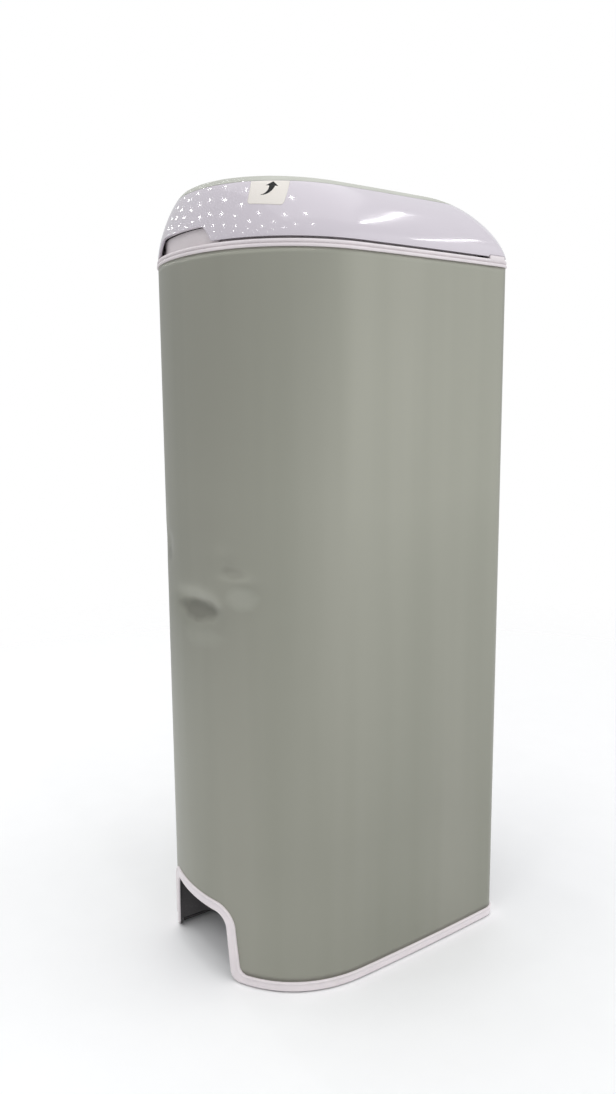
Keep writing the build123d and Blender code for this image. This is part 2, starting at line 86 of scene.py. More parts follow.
def planPoint(q, side=0.0, front=0.0, back=0.0, grow=0.0):
    # q runs from 0 at the front centre to 1 at the back centre, and the other way round below 0.
    # side, front and back move the outline inwards, and grow adds to the corner's radius.
    p = planShape
    half, y0, y1 = halfWidth - side, frontY + front, backY - back
    corner = max(p["corner"] + grow, 0.002)
    turn = y1 - corner
    fall = p["taper"] * ((turn - p["shoulder"]) / (y1 - p["shoulder"])) ** 2
    a = abs(q)
    if a <= p["noseEnd"]:
        t = a / p["noseEnd"]
        s = 1 - t
        handleX, handleY = p["fullness"] * half, p["fullness"] * (p["shoulder"] - y0)
        x = 3 * s * s * t * handleX + (3 * s * t * t + t**3) * half
        y = (s**3 + 3 * s * s * t) * y0 + 3 * s * t * t * (p["shoulder"] - handleY) + t**3 * p["shoulder"]
    elif a <= p["sideEnd"]:
        t = (a - p["noseEnd"]) / (p["sideEnd"] - p["noseEnd"])
        y = p["shoulder"] + t * (turn - p["shoulder"])
        x = half - fall * t * t
    elif a <= p["cornerEnd"]:
        angle = (a - p["sideEnd"]) / (p["cornerEnd"] - p["sideEnd"]) * math.pi / 2
        x = half - fall - corner + corner * math.cos(angle)
        y = turn + corner * math.sin(angle)
    else:
        t = (a - p["cornerEnd"]) / (1 - p["cornerEnd"])
        x = (half - fall - corner) * (1 - t)
        y = y1
    return Vector((math.copysign(x, q), y, 0))


def housingPoint(q, z, proud=0.0):
    point = planPoint(q, -proud, -proud, -proud, proud)
    point.z = z
    return point


def noseShareAt(x):
    # the q whose point on the nose stands x to the right of the middle
    low, high = 0.0, planShape["noseEnd"]
    for _ in range(40):
        middle = (low + high) / 2
        if planPoint(middle).x < x:
            low = middle
        else:
            high = middle
    return low


# ---------------------------------------------------------------- mesh helpers


def sheet(columns, rows, place, closed=False):
    # A grid from bmesh's own operator, whose points are laid out by place(column, row), both 0 to 1.
    bm = bmesh.new()
    bmesh.ops.create_grid(bm, x_segments=columns, y_segments=rows, size=0.5)
    for v in bm.verts:
        v.co = place(v.co.x + 0.5, v.co.y + 0.5)
    if closed:
        bmesh.ops.remove_doubles(bm, verts=bm.verts, dist=1e-6)
    return bm


def finishMesh(bm, name, body, finish, flat=False, sharpAngle=None):
    mesh = bpy.data.meshes.new(name)
    bm.to_mesh(mesh)
    bm.free()
    for polygon in mesh.polygons:
        polygon.use_smooth = not flat
    if sharpAngle is not None:
        mesh.set_sharp_from_angle(angle=math.radians(sharpAngle))
    piece = bpy.data.objects.new(name, mesh)
    bpy.context.scene.collection.objects.link(piece)
    mesh.materials.append(finish)
    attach(piece, body)
    return piece


def pointOutwards(bm, away):
    # turns all faces so that the first one looks away from the given point
    bm.normal_update()
    face = max(bm.faces, key=lambda f: (f.calc_center_median() - away).length)
    if face.normal.dot(face.calc_center_median() - away) < 0:
        bmesh.ops.reverse_faces(bm, faces=bm.faces)


def giveWall(piece, thickness):
    wall = piece.modifiers.new("wall", "SOLIDIFY")
    wall.thickness = thickness
    wall.offset = -1
    wall.use_even_offset = True
    return wall


def softenEdges(piece, width, segments=2, angle=40):
    bevel = piece.modifiers.new("edges", "BEVEL")
    bevel.width = width
    bevel.segments = segments
    bevel.limit_method = "ANGLE"
    bevel.angle_limit = math.radians(angle)
    bevel.harden_normals = False
    return bevel


# ---------------------------------------------------------------- shader helpers


class Wire:
    # a socket on which Python's own operators add Math nodes
    def __init__(self, finish, socket):
        self.finish = finish
        self.socket = socket

    def math(self, operation, a, b):
        return self.finish.add("ShaderNodeMath", {"operation": operation}, {0: a, 1: b})

    def __add__(self, other):
        return self.math("ADD", self, other)

    __radd__ = __add__

    def __mul__(self, other):
        return self.math("MULTIPLY", self, other)

    __rmul__ = __mul__

    def __sub__(self, other):
        return self.math("SUBTRACT", self, other)


class Finish:
    # a material, or the world, under construction
    def __init__(self, name, owner=None):
        self.owner = owner or bpy.data.materials.new(name)
        self.owner.use_nodes = True
        self.tree = self.owner.node_tree
        self.tree.nodes.clear()

    def add(self, kind, settings=None, sockets=None, out=0):
        node = self.tree.nodes.new(kind)
        for key, value in (settings or {}).items():
            if key == "stops":
                ramp = node.color_ramp
                while len(ramp.elements) < len(value):
                    ramp.elements.new(0.5)
                for element, (position, colour) in zip(ramp.elements, value):
                    element.position = position
                    element.color = colour if len(colour) == 4 else (*colour, 1)
            else:
                setattr(node, key, value)
        for key, value in (sockets or {}).items():
            if isinstance(value, Wire):
                self.tree.links.new(value.socket, node.inputs[key])
            else:
                node.inputs[key].default_value = value
        return None if out is None else Wire(self, node.outputs[out])

    def place(self, stretch=(1, 1, 1)):
        spot = self.add("ShaderNodeTexCoord", out=3)
        return self.add("ShaderNodeMapping", {}, {"Vector": spot, "Scale": stretch})

    def noise(self, where, scale, detail=3.0, roughness=0.5):
        sockets = {"Vector": where, "Scale": scale, "Detail": detail, "Roughness": roughness}
        return self.add("ShaderNodeTexNoise", {}, sockets)

    def steps(self, value, *stops):
        greys = [(position, (level, level, level)) for position, level in stops]
        return self.add("ShaderNodeValToRGB", {"stops": greys}, {0: value})

    def blend(self, factor, first, second, way="MIX"):
        settings = {"data_type": "RGBA", "blend_type": way}
        first = first if isinstance(first, Wire) else (*first, 1)
        second = second if isinstance(second, Wire) else (*second, 1)
        return self.add("ShaderNodeMix", settings, {0: factor, 6: first, 7: second}, out=2)

    def relief(self, height, strength, distance):
        sockets = {"Height": height, "Strength": strength, "Distance": distance}
        return self.add("ShaderNodeBump", {}, sockets)

    def done(self, **sockets):
        named = {key.replace("_", " "): value for key, value in sockets.items()}
        for key, value in named.items():
            if isinstance(value, tuple) and len(value) == 3:
                named[key] = (*value, 1)
        surface = self.add("ShaderNodeBsdfPrincipled", {}, named)
        self.add("ShaderNodeOutputMaterial", {}, {0: surface}, out=None)
        return self.owner


# ---------------------------------------------------------------- finishes


# painted shade and painted highlights round the knock, laid into the colour: middle, half size, strength,
# kind
paintedDentShadeAndHighlights = [
    ((0.022, -0.1375, 0.3115), (0.030, 0.05, 0.0120), 0.22, "bright"),
    ((0.064, -0.1300, 0.3510), (0.020, 0.05, 0.0130), 0.42, "bright"),
    ((-0.046, -0.1330, 0.4100), (0.010, 0.05, 0.0200), 0.40, "bright"),
    ((0.012, -0.1375, 0.3335), (0.038, 0.05, 0.0105), 0.58, "dull"),
    ((0.060, -0.1300, 0.3700), (0.017, 0.05, 0.0080), 0.24, "dull"),
    ((-0.043, -0.1340, 0.3760), (0.012, 0.05, 0.0080), 0.34, "dull"),
]
# kind "dull" is painted shade in the fold, kind "bright" is a painted highlight on the dent's slopes
paintedDentShadeAndHighlightTints = {"dull": (0.13, 0.128, 0.105), "bright": (0.47, 0.475, 0.41)}


def sageSheetSteel():
    # satin film over sheet steel: upright streaks, a faint peel, and painted shade by height, darker
    # towards the floor and near the top
    m = Finish("sageSheetSteel")
    where = m.place()
    streaks = m.noise(m.place((1, 1, 0.05)), 20.0, 2)
    clouds = m.noise(m.place((1, 1, 0.6)), 5.0, 2)
    tint = m.blend(m.steps(streaks, (0.35, 0), (0.65, 1)), (0.318, 0.322, 0.268), (0.352, 0.352, 0.298))
    height = m.add("ShaderNodeSeparateXYZ", {}, {0: where}, out=2)
    level = height * (1 / skinHigh[2]) + 0.10 * (clouds - 0.5)
    # painted shade: the colour is darkened low down and near the top and lightened at about two-thirds
    # height, by height alone
    paintedHeightShade = m.steps(level, (0.0, 0.84), (0.20, 0.84), (0.42, 0.95), (0.68, 1.04), (0.95, 0.93))
    peel = m.noise(where, 900.0, 2)
    rub = m.noise(m.place((1, 1, 0.2)), 40.0, 4, 0.6)
    coloured = m.blend(1.0, tint, paintedHeightShade, "MULTIPLY")
    ripples = m.noise(m.place((1, 1, 1.6)), 34.0, 2)
    # painted shade and painted highlights of the knock, blended over the colour by a rippled mask round
    # each middle
    for middle, size, strength, kind in paintedDentShadeAndHighlights:
        offset = m.add("ShaderNodeVectorMath", {"operation": "SUBTRACT"}, {0: where, 1: middle})
        scaled = m.add("ShaderNodeVectorMath", {"operation": "DIVIDE"}, {0: offset, 1: size})
        distance = m.add("ShaderNodeVectorMath", {"operation": "LENGTH"}, {0: scaled}, out=1)
        paintedDentMark = m.steps(distance + 1.3 * (ripples - 0.5), (0.40, strength), (0.95, 0))
        coloured = m.blend(paintedDentMark, coloured, paintedDentShadeAndHighlightTints[kind])
    return m.done(
        Base_Color=coloured,
        Metallic=0.55,
        Roughness=0.34 + 0.08 * clouds + 0.05 * rub,
        Normal=m.relief(peel, 0.04, 0.0002),
        Coat_Weight=0.1,
        Coat_Roughness=0.25,
    )


def glossMoulding(name, colour, roughness=0.10):
    # injection-moulded gloss plastic with faint flow clouds and handling haze
    m = Finish(name)
    where = m.place()
    flow = m.noise(m.place((1, 1, 0.5)), 14.0, 3)
    darker = tuple(c * 0.965 for c in colour)
    haze = m.noise(where, 55.0, 4, 0.6)
    waves = m.noise(where, 18.0, 1)
    return m.done(
        Base_Color=m.blend(m.steps(flow, (0.35, 0), (0.7, 1)), colour, darker),
        Roughness=roughness + 0.02 * haze,
        Normal=m.relief(waves, 0.004, 0.001),
        Coat_Weight=0.6,
        Coat_Roughness=0.03,
    )


def satinMoulding(name, colour, roughness=0.42, grain=1400.0, depth=0.12, dust=0.0):
    # moulded plastic with a fine spark-eroded grain and, where asked for, dust lying on it
    m = Finish(name)
    where = m.place()
    patches = m.noise(where, 22.0, 3)
    darker = tuple(c * 0.90 for c in colour)
    base = m.blend(m.steps(patches, (0.3, 0), (0.7, 1)), colour, darker)
    if dust:
        specks = m.steps(m.noise(where, 420.0, 5, 0.7), (0.50, 0), (0.75, 1))
        base = m.blend(dust * specks, base, (0.5, 0.49, 0.46))
    texture = m.noise(where, grain, 2)
    return m.done(
        Base_Color=base,
        Roughness=roughness + 0.10 * patches,
        Normal=m.relief(texture, depth, 0.0003),
    )


def bareSteel(name, colour, roughness, grain):
    # drawn or plated steel: fine lines along its length and slow changes of gloss
    m = Finish(name)
    lines = m.noise(m.place(grain), 900.0, 3, 0.6)
    bloom = m.noise(m.place(), 60.0, 3)
    dull = tuple(c * 0.8 for c in colour)
    return m.done(
        Base_Color=m.blend(m.steps(bloom, (0.4, 0), (0.7, 1)), colour, dull),
        Metallic=1.0,
        Roughness=roughness + 0.12 * lines + 0.08 * bloom,
        Normal=m.relief(lines, 0.08, 0.0002),
    )


def darkRubber():
    m = Finish("darkRubber")
    where = m.place()
    bloom = m.noise(where, 70.0, 4, 0.6)
    return m.done(
        Base_Color=m.blend(bloom, (0.022, 0.022, 0.022), (0.045, 0.044, 0.042)),
        Roughness=0.62 + 0.18 * bloom,
        Normal=m.relief(m.noise(where, 1800.0, 2), 0.2, 0.0003),
    )


def charcoalFleece():
    m = Finish("charcoalFleece")
    where = m.place()
    fibres = m.noise(where, 700.0, 6, 0.75)
    return m.done(
        Base_Color=m.blend(m.steps(fibres, (0.35, 0), (0.7, 1)), (0.012,) * 3, (0.06,) * 3),
        Roughness=0.95,
        Normal=m.relief(fibres, 0.8, 0.001),
    )


def stickerPaper():
    m = Finish("stickerPaper")
    where = m.place()
    fibres = m.noise(where, 1500.0, 5, 0.7)
    return m.done(
        Base_Color=m.blend(fibres, (0.72, 0.68, 0.63), (0.78, 0.74, 0.69)),
        Roughness=0.52 + 0.1 * fibres,
        Normal=m.relief(fibres, 0.10, 0.0002),
    )


def printedInk():
    m = Finish("printedInk")
    mottle = m.noise(m.place(), 900.0, 4)
    return m.done(
        Base_Color=m.blend(mottle, (0.003, 0.003, 0.003), (0.008, 0.008, 0.008)),
        Roughness=0.7 + 0.1 * mottle,
    )


finishes = {
    "sage_steel": sageSheetSteel(),
    "white_gloss": glossMoulding("lavenderGloss", (0.60, 0.555, 0.605)),
    "sage_plastic": satinMoulding("sageSatin", (0.50, 0.51, 0.45), 0.36),
    "white_satin": satinMoulding("whiteSatin", (0.80, 0.74, 0.755), 0.30),
    "dark_plastic": satinMoulding("darkMoulding", (0.085, 0.080, 0.082), 0.5, dust=0.09),
    "grey_plastic": satinMoulding("greyMoulding", (0.28, 0.28, 0.28), 0.45),
    "handle_plastic": satinMoulding("handleMoulding", (0.17, 0.18, 0.165), 0.38),
    "bright_steel": bareSteel("drawnSteel", (0.62, 0.61, 0.60), 0.24, (1, 1, 0.03)),
    "zinc_steel": bareSteel("zincPlate", (0.55, 0.55, 0.52), 0.34, (1, 1, 1)),
    "black_rubber": darkRubber(),
    "charcoal": charcoalFleece(),
}
for subpart in frame["record"]["subparts"]:
    data = nodes[subpart["node"]].data
    data.materials.clear()
    data.materials.append(finishes[subpart["material_slot"]])
print("finishes:", len(finishes))

# ---------------------------------------------------------------- foot arch

footArch = {
    "top": 0.0605,
    "halfTop": 0.0465,
    "halfBottom": 0.0500,
    "topRadius": 0.013,
    "flare": 0.009,
    "ground": 0.0012,
    "band": 0.0092,  # width of the white frame round it
    "outerRadius": 0.0205,
    "outerFlare": 0.0075,
    "steelBottom": skinLow[2],
    "shares": (0.25, 0.5, 0.8),  # where the top, the corner and the side end along half of the arch
    "ofTrim": 0.45,  # share of half the foot ring that goes round the arch
}


def archEdge(t, grow, ground, topRadius, flare):
    # (x, z) along half of the arch: t from 0 at its middle to 1 where it meets the ground line
    a = footArch
    top, halfTop, halfBottom = a["top"] + grow, a["halfTop"] + grow, a["halfBottom"] + grow
    topEnd, cornerEnd, sideEnd = a["shares"]
    if t < topEnd:
        return (t / topEnd) * (halfTop - topRadius), top
    if t < cornerEnd:
        angle = (t - topEnd) / (cornerEnd - topEnd) * math.pi / 2
        return (
            halfTop - topRadius + topRadius * math.sin(angle),
            top - topRadius + topRadius * math.cos(angle),
        )
    if t < sideEnd:
        s = (t - cornerEnd) / (sideEnd - cornerEnd)
        return halfTop + (halfBottom - halfTop) * s, (top - topRadius) * (1 - s) + (ground + flare) * s
    angle = (t - sideEnd) / (1 - sideEnd) * math.pi / 2
    return halfBottom + flare - flare * math.cos(angle), ground + flare - flare * math.sin(angle)


def trimEdge(t, grow, ground, topRadius, flare):
    # (q, z) once round half of the foot ring: up and over the foot recess, then along the ground
    archShare = footArch["ofTrim"]
    if t <= archShare:
        x, z = archEdge(t / archShare, grow, ground, topRadius, flare)
        return noseShareAt(x), z
    start = noseShareAt(footArch["halfBottom"] + grow + flare)
    return start + (1 - start) * (t - archShare) / (1 - archShare), ground


footTrim = {
    "columns": 720,
    "profile": [  # closed, across the band from the opening to the steel: (share of the width, proud)
        (0.10, -0.0012),
        (0.01, -0.0012),
        (0.00, -0.0008),
        (0.00, 0.0002),
        (0.05, 0.0008),
        (0.14, 0.0011),
        (0.70, 0.0010),
        (0.76, 0.0007),
        (0.80, 0.0010),
        (0.88, 0.0017),
        (0.98, 0.0016),
        (1.05, 0.0009),
        (1.06, 0.0001),
        (1.06, -0.0012),
        (0.10, -0.0012),
    ],
}


def buildFootTrim():
    a, profile = footArch, footTrim["profile"]

    def place(u, v):
        side = u * 2 - 1
        share, proud = profile[round(v * (len(profile) - 1))]
        inner = trimEdge(abs(side), 0, a["ground"], a["topRadius"], a["flare"])
        outer = trimEdge(abs(side), a["band"], a["steelBottom"], a["outerRadius"], a["outerFlare"])
        q = inner[0] + (outer[0] - inner[0]) * share
        z = inner[1] + (outer[1] - inner[1]) * share
        return housingPoint(math.copysign(q, side), z, proud)

    bm = sheet(footTrim["columns"], len(profile) - 1, place, closed=True)
    pointOutwards(bm, Vector((0, 0, 0.02)))
    piece = finishMesh(bm, "footRingTrim", "housing", finishes["white_satin"])
    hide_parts("base_trim")
    return piece


buildFootTrim()
print("foot trim done")

# ---------------------------------------------------------------- steel wrap

steelWrap = {
    "columns": 300,
    "rows": 165,
    "lastShare": 0.894,  # the sheet stops here behind, beside the plastic back
    "thickness": 0.0008,
    "underTrim": 0.0046,  # how far the sheet runs on under the frame of the foot recess
    "crowding": 0.6,  # draws the rows together about the height of the knock
    "crowdedAt": 0.545,
    "noseCrowding": 1.4,  # above 1, draws the columns together on the nose
    "knockedFrom": -0.09,  # no knock to the left of this x
}
knocks = [  # (x, z, reach in x, reach above, reach below, depth): each dish is steeper on one side
    (0.012, 0.3395, 0.030, 0.0105, 0.0130, 0.0058),
    (0.036, 0.3360, 0.010, 0.0070, 0.0100, 0.0020),
    (0.063, 0.3620, 0.014, 0.0075, 0.0150, 0.0034),
    (0.050, 0.3830, 0.010, 0.0100, 0.0070, 0.0014),
    (0.020, 0.3450, 0.055, 0.0450, 0.0450, 0.0010),
    (-0.043, 0.3880, 0.014, 0.0090, 0.0150, 0.0022),
]


def dentDepth(x, z):
    # how far the sheet is knocked in at x and z
    depth = 0.0
    for middleX, middleZ, reach, above, below, deep in knocks:
        tall = above if z > middleZ else below
        depth += deep * math.exp(-(((x - middleX) / reach) ** 2) - ((z - middleZ) / tall) ** 2)
    return depth


def insideArch(x, z, grow):
    a = footArch
    top, radius, flare = a["top"] + grow, a["outerRadius"], a["outerFlare"]
    ground = a["steelBottom"]
    if z > top:
        return False
    s = max(0.0, min(1.0, (top - z) / (top - ground)))
    half = a["halfTop"] + grow + (a["halfBottom"] - a["halfTop"]) * s
    if z > top - radius:
        half += math.sqrt(max(radius**2 - (z - top + radius) ** 2, 0)) - radius
    if z < ground + flare:
        half += flare - math.sqrt(max(flare**2 - (ground + flare - z) ** 2, 0))
    return abs(x) < half


def buildSteelWrap():
    s = steelWrap
    bottom, top = skinLow[2], skinHigh[2]

    def place(u, v):
        side = u * 2 - 1
        q = math.copysign(abs(side) ** s["noseCrowding"], side) * s["lastShare"]
        phase = 2 * math.pi * (v - s["crowdedAt"])
        start = 2 * math.pi * s["crowdedAt"]
        share = v - s["crowding"] * (math.sin(phase) + math.sin(start)) / (2 * math.pi)
        z = bottom + (top - bottom) * share
        point = housingPoint(q, z)
        if point.y < 0 and point.x > s["knockedFrom"]:
            inward = planPoint(q, 0.001, 0.001, 0.001) - planPoint(q)
            point += inward.normalized() * dentDepth(point.x, z)
        return point

    bm = sheet(s["columns"], s["rows"], place)
    grow = footArch["band"] - s["underTrim"]
    cut = []
    for f in bm.faces:
        middle = f.calc_center_median()
        if middle.y < planShape["shoulder"] and insideArch(middle.x, middle.z, grow):
            cut.append(f)
    bmesh.ops.delete(bm, geom=cut, context="FACES")
    pointOutwards(bm, Vector((0, 0, 0.3)))
    piece = finishMesh(bm, "steelWrap", "housing", finishes["sage_steel"])
    giveWall(piece, s["thickness"])
    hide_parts("body_skin")
    return piece


buildSteelWrap()
print("steel wrap done")

# ---------------------------------------------------------------- rim

rimBand = {
    "columns": 320,
    "profile": [  # closed: (proud, z above the top of the steel)
        (-0.0020, -0.0008),
        (0.0006, -0.0009),
        (0.0011, -0.0004),
        (0.0011, 0.0010),
        (0.0006, 0.0016),
        (-0.0004, 0.0018),
        (-0.0004, 0.0023),
        (0.0003, 0.0025),
        (0.0008, 0.0030),
        (0.0008, 0.0042),
        (0.0003, 0.0049),
        (-0.0010, 0.0052),
        (-0.0060, 0.0052),
        (-0.0060, 0.0048),
        (-0.0012, 0.0044),
        (-0.0020, -0.0008),
    ],
    "lip": (0.111, 0.1305, 0.0033),  # the low step beside the hinge: from, to, height
    "lipRamp": 0.0015,  # how gently the lip starts and ends
    "lipFoot": 0.0026,  # what is lower than this in the profile isn't lifted
    "lipSpan": 0.0025,
}


def buildRimBand():
    r = rimBand
    top = skinHigh[2]
    start, end, height = r["lip"]

    def place(u, v):
        q = u * 2 - 1
        proud, rise = r["profile"][round(v * (len(r["profile"]) - 1))]
        point = housingPoint(q, top + rise, proud)
        if rise > r["lipFoot"] and abs(q) < planShape["cornerEnd"]:
            ramp = min((point.y - start) / r["lipRamp"], (end - point.y) / r["lipRamp"])
            point.z += height * max(0.0, min(1.0, ramp)) * (rise - r["lipFoot"]) / r["lipSpan"]
        return point

    bm = sheet(r["columns"] * 2, len(r["profile"]) - 1, place, closed=True)
    pointOutwards(bm, Vector((0, 0, top)))
    return finishMesh(bm, "rimBand", "housing", finishes["white_satin"])


buildRimBand()
print("rim done")

# ---------------------------------------------------------------- lid

lidCrown = {
    "bottom": 0.637,
    "sideIn": 0.036,
    "frontIn": 0.0193,
    "backIn": 0.017,
    "cornerGrow": 0.0515,
    "power": 1.4,
    "wall": 0.0020,
    "seam": 0.6826,  # the glossy ring ends here
    "columns": 480,
    "rows": 44,
    "fingerTop": 0.6498,
    "fingerHalf": 0.0465,  # half the width of the finger recess at the lid's lower edge
    "fingerSlope": 1.9,
    "fingerRounding": 0.0125,
    "earSlots": (0.059, 0.075, 0.648),  # from, to, top: room for the two ears on the rim
    "slotsBehind": 0.12,
    "lip": (0.1103, 0.133, 0.0017),  # where the lower edge clears the rim's low step: from, to, height
    "edge": 0.0005,
}
lidRise = crestZ - lidCrown["bottom"]


def crownPoint(q, angle, lift=0.0):
    # angle climbs from 0 at the lid's lower edge to pi/2 at its flat top; lift stands off the surface
    c = lidCrown
    drawIn = 1 - math.cos(angle) ** c["power"]
    point = planPoint(
        q,
        c["sideIn"] * drawIn - lift * math.cos(angle),
        c["frontIn"] * drawIn - lift * math.cos(angle),
        c["backIn"] * drawIn - lift * math.cos(angle),
        c["cornerGrow"] * drawIn,
    )
    point.z = c["bottom"] + lidRise * math.sin(angle) ** c["power"] + lift * math.sin(angle)
    return point


def crownAngle(z):
    share = max(0.0, (z - lidCrown["bottom"]) / lidRise)
    return math.asin(min(1.0, share ** (1 / lidCrown["power"])))


def fingerEdge(x):
    # how high the lid's lower edge stands at x in front: a shallow arch with rounded shoulders
    c = lidCrown
    flat = c["fingerTop"] - c["bottom"]
    slope = max(c["fingerHalf"] - abs(x), 0) * c["fingerSlope"]
    overlap = max(c["fingerRounding"] - abs(slope - flat), 0)
    return c["bottom"] + min(slope, flat) - overlap**2 / (4 * c["fingerRounding"])


def buildLidRing():
    c = lidCrown
    seamAngle = crownAngle(c["seam"])

    def place(u, v):
        q = u * 2 - 1
        foot = planPoint(q)
        low = c["bottom"]
        if foot.y < planShape["shoulder"]:
            low = fingerEdge(foot.x)
        start, end, height = c["lip"]
        if start < foot.y < end and abs(q) < planShape["cornerEnd"]:
            low += height
        angle = crownAngle(low)
        return crownPoint(q, angle + (seamAngle - angle) * v)

    bm = sheet(c["columns"], c["rows"], place, closed=True)
    slotStart, slotEnd, slotTop = c["earSlots"]
    cuts = [((x, 0, 0), (1, 0, 0)) for x in (-slotEnd, -slotStart, slotStart, slotEnd)]
    for point, normal in cuts + [((0, 0, slotTop), (0, 0, 1))]:
        behind = [v for v in bm.verts if v.co.y > c["slotsBehind"]]
        faces = {f for v in behind for f in v.link_faces}
        edges = {e for f in faces for e in f.edges}
        verts = {v for f in faces for v in f.verts}
        geom = [*verts, *edges, *faces]
        bmesh.ops.bisect_plane(bm, geom=geom, dist=1e-6, plane_co=point, plane_no=normal)
    slots = []
    for f in bm.faces:
        middle = f.calc_center_median()
        if middle.y > c["slotsBehind"] and slotStart < abs(middle.x) < slotEnd and middle.z < slotTop:
            slots.append(f)
    bmesh.ops.delete(bm, geom=slots, context="FACES")
    pointOutwards(bm, Vector((0, 0, c["bottom"])))
    piece = finishMesh(bm, "lidRing", "lid", finishes["white_gloss"])
    giveWall(piece, c["wall"])
    softenEdges(piece, c["edge"], 3)
    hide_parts("lid_shell")
    return piece


lidTop = {
    "columns": 360,
    "rows": 50,
    "seamGap": 0.0003,
    "wellRadius": 0.0482,
    "lastRing": 0.62,  # share of the rows on the crown; the rest run in to the well
    "wall": 0.002,
    "edge": 0.0004,
}


def buildLidTop():
    s = lidTop
    start = crownAngle(lidCrown["seam"] + s["seamGap"])
    wellLow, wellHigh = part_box("handle_well")
    wellY, wellRadius, lastRing = (wellLow[1] + wellHigh[1]) / 2, s["wellRadius"], s["lastRing"]

    def place(u, v):
        q = u * 2 - 1
        if v <= lastRing:
            return crownPoint(q, start + (math.pi / 2 - start) * v / lastRing)
        rim = crownPoint(q, math.pi / 2)
        heading = math.atan2(rim.y - wellY, rim.x)
        hole = Vector((wellRadius * math.cos(heading), wellY + wellRadius * math.sin(heading), rim.z))
        return rim.lerp(hole, (v - lastRing) / (1 - lastRing))

    bm = sheet(s["columns"], s["rows"], place, closed=True)
    pointOutwards(bm, Vector((0, 0, lidCrown["bottom"])))
    piece = finishMesh(bm, "lidTopPanel", "lid", finishes["sage_plastic"])
    giveWall(piece, s["wall"])
    softenEdges(piece, s["edge"], 2)
    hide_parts("lid_top_panel")
    return piece


buildLidRing()
buildLidTop()
print("lid done")

# ---------------------------------------------------------------- sticker

sticker = {
    "left": (0.185, 0.196),  # shares round the lid of its left edge, below and above; it leans to the right
    "right": (0.263, 0.291),
    "bottomZ": (0.6629, 0.6608),  # heights of its two lower corners
    "topZ": 0.6822,
    "lift": 0.00015,
    "corner": 0.0028,
    "size": (0.030, 0.026),
    "paper": 0.00012,
    "inkLift": 0.00006,
    "ink": 0.00004,
}
arrow = {  # in shares of the sticker
    "tail": (0.33, 0.385),
    "bend": (0.245, 0.40),
    "halfWidth": (0.010, 0.068),  # at the tail, and how much it gains up to the head
    "tip": (0.586, 0.96),
    "barbs": ((0.408, 0.785), (0.73, 0.76)),
    "tipShare": 0.999,  # keeps the last row from closing to one point
}


def stickerPoint(u, v, lift):
    # u across and v up, both 0 to 1
    s = sticker
    left = s["left"][0] + (s["left"][1] - s["left"][0]) * v
    right = s["right"][0] + (s["right"][1] - s["right"][0]) * v
    low = s["bottomZ"][0] + (s["bottomZ"][1] - s["bottomZ"][0]) * u
    return crownPoint(left + (right - left) * u, crownAngle(low + (s["topZ"] - low) * v), lift)


def buildSticker():
    s, a = sticker, arrow
    width, height = s["size"]
    away = Vector((0, 0, 0.6))

    def place(u, v):
        # the two lower corners are rounded
        fromSide = min(u, 1 - u) * width
        low = 0.0
        if fromSide < s["corner"]:
            low = s["corner"] - math.sqrt(s["corner"] ** 2 - (s["corner"] - fromSide) ** 2)
        return stickerPoint(u, (low + (height - low) * v) / height, s["lift"])

    bm = sheet(48, 32, place)
    pointOutwards(bm, away)
    paper = finishMesh(bm, "sticker", "lid", stickerPaper())
    giveWall(paper, s["paper"])

    def shaft(u, v):
        # a bent shaft that starts thin at the lower left and climbs to the head
        t = u * math.pi / 2
        (tailX, tailY), (bendX, bendY), (thin, gain) = a["tail"], a["bend"], a["halfWidth"]
        middle = Vector((tailX + bendX * math.sin(t), tailY + bendY * (1 - math.cos(t))))
        along = Vector((bendX * math.cos(t), bendY * math.sin(t))).normalized()
        p = middle + Vector((-along.y, along.x)) * (thin + gain * u) * (v - 0.5) * 2
        return stickerPoint(p.x, p.y, s["lift"] + s["inkLift"])

    def head(u, v):
        left, right = (Vector(barb) for barb in a["barbs"])
        p = left.lerp(right, u).lerp(Vector(a["tip"]), v * a["tipShare"])
        return stickerPoint(p.x, p.y, s["lift"] + s["inkLift"])

    ink = printedInk()
    for name, columns, rows, place in (("arrowShaft", 24, 4, shaft), ("arrowHead", 10, 10, head)):
        bm = sheet(columns, rows, place)
        pointOutwards(bm, away)
        mark = finishMesh(bm, name, "lid", ink)
        giveWall(mark, s["ink"])


buildSticker()
print("sticker done")

# ---------------------------------------------------------------- return spring

returnSpring = {
    "turns": 10,
    "radius": 0.0062,
    "wire": 0.0007,
    "middleY": 0.121,
    "low": 0.0930,
    "high": 0.1490,
    "endRise": 0.0015,  # each end turn lies on the next one
    "fixedEnd": 0.150,
    "keep": 0.6638,  # share of its length left when the rod is right up
}


def buildReturnSpring():
    s = returnSpring
    active = (s["high"] - s["low"] - 2 * s["endRise"]) / (s["turns"] - 2)

    def place(u, v):
        count = u * s["turns"]
        if count < 1:
            z = s["low"] + s["endRise"] * count
        elif count > s["turns"] - 1:
            z = s["high"] - s["endRise"] * (s["turns"] - count)
        else:
            z = s["low"] + s["endRise"] + active * (count - 1)
        turn, angle = 2 * math.pi * count, 2 * math.pi * v
        outwards = Vector((math.cos(turn), math.sin(turn), 0))
        middle = Vector((0, s["middleY"], z)) + outwards * s["radius"]
        return middle + s["wire"] * (outwards * math.cos(angle) + Vector((0, 0, math.sin(angle))))

    bm = sheet(400, 10, place, closed=True)
    bmesh.ops.holes_fill(bm, edges=[e for e in bm.edges if e.is_boundary])
    bmesh.ops.recalc_face_normals(bm, faces=bm.faces)
    piece = finishMesh(bm, "returnSpring", "housing", finishes["zinc_steel"], sharpAngle=50)
    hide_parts("return_spring")
    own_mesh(piece)
    return piece


buildReturnSpring()
print("return spring done")

# ---------------------------------------------------------------- stage, light and camera

stageSet = {
    "floor": 6.0,
    "camera": (0.696, -0.493, 0.507),
    "yaw": 55.19,
    "pitch": 8.87,
    "roll": -0.43,
    "lens": 29.58,
}


